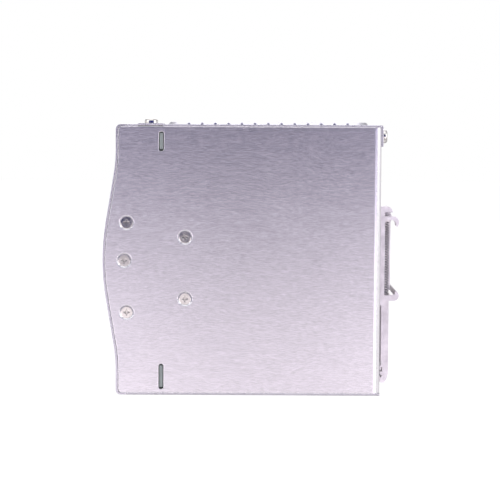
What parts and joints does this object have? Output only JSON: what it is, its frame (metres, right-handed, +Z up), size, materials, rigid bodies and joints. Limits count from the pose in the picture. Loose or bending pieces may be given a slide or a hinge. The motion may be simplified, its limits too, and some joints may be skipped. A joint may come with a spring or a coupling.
{
  "type": "din rail power supply",
  "caption": "Tall metal-cased power supply with a curved front, screw terminals at its top and bottom, a vented top and a sprung clip that hangs it on a 35 mm rail.",
  "frame": {"origin": "middle of the 35 mm rail's front plane, which is the clip's seat face", "axes": "+X towards the right side seen from the front, +Y back towards the rail and the wall, +Z up"},
  "size_m": [0.0876, 0.1389, 0.1278],
  "materials": {
    "brushed_case": "fine horizontal brushing, clear, slightly smudged",
    "cover_sheet": "fine brushing, satin",
    "panel_sheet": "satin, fine brushing across the width",
    "nickel_screw": "nickel plated, satin",
    "zinc_steel": "bright zinc plated, stamped",
    "spring_wire": "drawn spring wire",
    "terminal_housing": "black glass-filled polyamide",
    "tinned_copper": "bright tin",
    "clamp_screw": "zinc plated",
    "clamp_jaw": "zinc plated",
    "board_laminate": "grey-green glass laminate with solder mask",
    "led_lens": "small surface-mount lamp",
    "clear_rod": "clear acrylic",
    "black_plastic": "moulded",
    "trimmer_housing": "moulded, blue",
    "insulation_film": "thin polyester film",
    "thermal_pad": "filled silicone",
    "component_epoxy": "black moulding compound",
    "capacitor_sleeve": "shrink sleeve",
    "copper_winding": "enamelled copper",
    "ferrite": "ground ferrite",
    "winding_tape": "polyester tape",
    "relay_case": "moulded",
    "fuse_body": "white ceramic tube with plated caps",
    "film_capacitor": "moulded box",
    "surge_disc": "epoxy dip",
    "standoff_brass": "nickel-free brass",
    "earth_wire": "green and yellow insulation"
  },
  "bodies": {
    "case": {"chassis": "brushed_case", "cover": "cover_sheet", "front_panel": "panel_sheet", "panel_screws": "nickel_screw", "cover_screws": "nickel_screw", "cover_base_screw": "nickel_screw", "rail_bracket": "zinc_steel", "bracket_screws": "nickel_screw", "latch_springs": "spring_wire", "output_terminal_block": "terminal_housing", "input_terminal_block": "terminal_housing", "output_contact_bars": "tinned_copper", "input_contact_bars": "tinned_copper", "output_board": "board_laminate", "input_board": "board_laminate", "status_led": "led_lens", "light_pipe": "clear_rod", "light_pipe_holder": "black_plastic", "trimmer_body": "trimmer_housing", "power_board": "board_laminate", "board_standoffs": "standoff_brass", "board_screws": "nickel_screw", "insulation_sheet": "insulation_film", "thermal_pads": "thermal_pad", "power_transistors": "component_epoxy", "transistor_screws": "nickel_screw", "bulk_capacitors": "capacitor_sleeve", "output_capacitors": "capacitor_sleeve", "line_chokes": "copper_winding", "boost_choke": "copper_winding", "output_choke": "copper_winding", "transformer_core": "ferrite", "transformer_coil": "winding_tape", "bridge_rectifier": "component_epoxy", "inrush_relay": "relay_case", "line_fuse": "fuse_body", "line_capacitors": "film_capacitor", "surge_discs": "surge_disc", "control_board": "board_laminate", "earth_lead": "earth_wire", "earth_stud": "nickel_screw", "hex_nuts": "nickel_screw"},
    "latch": {"rail_latch": "zinc_steel"},
    "trimmer": {"trimmer_shaft": "black_plastic"},
    "output_screw_1": {"output_screw_1": "clamp_screw"},
    "output_jaw_1": {"output_jaw_1": "clamp_jaw"},
    "output_screw_2": {"output_screw_2": "clamp_screw"},
    "output_jaw_2": {"output_jaw_2": "clamp_jaw"},
    "output_screw_3": {"output_screw_3": "clamp_screw"},
    "output_jaw_3": {"output_jaw_3": "clamp_jaw"},
    "output_screw_4": {"output_screw_4": "clamp_screw"},
    "output_jaw_4": {"output_jaw_4": "clamp_jaw"},
    "input_screw_1": {"input_screw_1": "clamp_screw"},
    "input_jaw_1": {"input_jaw_1": "clamp_jaw"},
    "input_screw_2": {"input_screw_2": "clamp_screw"},
    "input_jaw_2": {"input_jaw_2": "clamp_jaw"},
    "input_screw_3": {"input_screw_3": "clamp_screw"},
    "input_jaw_3": {"input_jaw_3": "clamp_jaw"}
  },
  "joints": [
    {"name": "latch_slide", "type": "slide", "parent": "case", "child": "latch", "axis": [0, 0, -1], "range_m": [0, 0.008], "stiffness_N_per_m": 200, "springref_m": -0.03, "deforming": ["latch_springs"]},
    {"name": "trimmer_turn", "type": "hinge", "parent": "case", "child": "trimmer", "pos_m": [-0.031, -0.1177, 0.0524], "axis": [0, 1, 0], "range_deg": [-135, 135]},
    {"name": "output_screw_1_turn", "type": "hinge", "parent": "case", "child": "output_screw_1", "pos_m": [-0.011, -0.1238, 0.0521], "axis": [0, 1, 0], "range_deg": [0, 1440]},
    {"name": "output_jaw_1_slide", "type": "slide", "parent": "case", "child": "output_jaw_1", "axis": [0, -1, 0], "range_m": [0, 0.0028]},
    {"name": "output_screw_2_turn", "type": "hinge", "parent": "case", "child": "output_screw_2", "pos_m": [-0.001, -0.1238, 0.0521], "axis": [0, 1, 0], "range_deg": [0, 1440]},
    {"name": "output_jaw_2_slide", "type": "slide", "parent": "case", "child": "output_jaw_2", "axis": [0, -1, 0], "range_m": [0, 0.0028]},
    {"name": "output_screw_3_turn", "type": "hinge", "parent": "case", "child": "output_screw_3", "pos_m": [0.009, -0.1238, 0.0521], "axis": [0, 1, 0], "range_deg": [0, 1440]},
    {"name": "output_jaw_3_slide", "type": "slide", "parent": "case", "child": "output_jaw_3", "axis": [0, -1, 0], "range_m": [0, 0.0028]},
    {"name": "output_screw_4_turn", "type": "hinge", "parent": "case", "child": "output_screw_4", "pos_m": [0.019, -0.1238, 0.0521], "axis": [0, 1, 0], "range_deg": [0, 1440]},
    {"name": "output_jaw_4_slide", "type": "slide", "parent": "case", "child": "output_jaw_4", "axis": [0, -1, 0], "range_m": [0, 0.0028]},
    {"name": "input_screw_1_turn", "type": "hinge", "parent": "case", "child": "input_screw_1", "pos_m": [-0.006, -0.1238, -0.0521], "axis": [0, 1, 0], "range_deg": [0, 1440]},
    {"name": "input_jaw_1_slide", "type": "slide", "parent": "case", "child": "input_jaw_1", "axis": [0, -1, 0], "range_m": [0, 0.0028]},
    {"name": "input_screw_2_turn", "type": "hinge", "parent": "case", "child": "input_screw_2", "pos_m": [0.004, -0.1238, -0.0521], "axis": [0, 1, 0], "range_deg": [0, 1440]},
    {"name": "input_jaw_2_slide", "type": "slide", "parent": "case", "child": "input_jaw_2", "axis": [0, -1, 0], "range_m": [0, 0.0028]},
    {"name": "input_screw_3_turn", "type": "hinge", "parent": "case", "child": "input_screw_3", "pos_m": [0.014, -0.1238, -0.0521], "axis": [0, 1, 0], "range_deg": [0, 1440]},
    {"name": "input_jaw_3_slide", "type": "slide", "parent": "case", "child": "input_jaw_3", "axis": [0, -1, 0], "range_m": [0, 0.0028]}
  ],
  "couplings": [
    {"joint": "output_screw_1_turn", "follows": "output_jaw_1_slide", "rad_per_m": 8975.9},
    {"joint": "output_screw_2_turn", "follows": "output_jaw_2_slide", "rad_per_m": 8975.9},
    {"joint": "output_screw_3_turn", "follows": "output_jaw_3_slide", "rad_per_m": 8975.9},
    {"joint": "output_screw_4_turn", "follows": "output_jaw_4_slide", "rad_per_m": 8975.9},
    {"joint": "input_screw_1_turn", "follows": "input_jaw_1_slide", "rad_per_m": 8975.9},
    {"joint": "input_screw_2_turn", "follows": "input_jaw_2_slide", "rad_per_m": 8975.9},
    {"joint": "input_screw_3_turn", "follows": "input_jaw_3_slide", "rad_per_m": 8975.9}
  ]
}
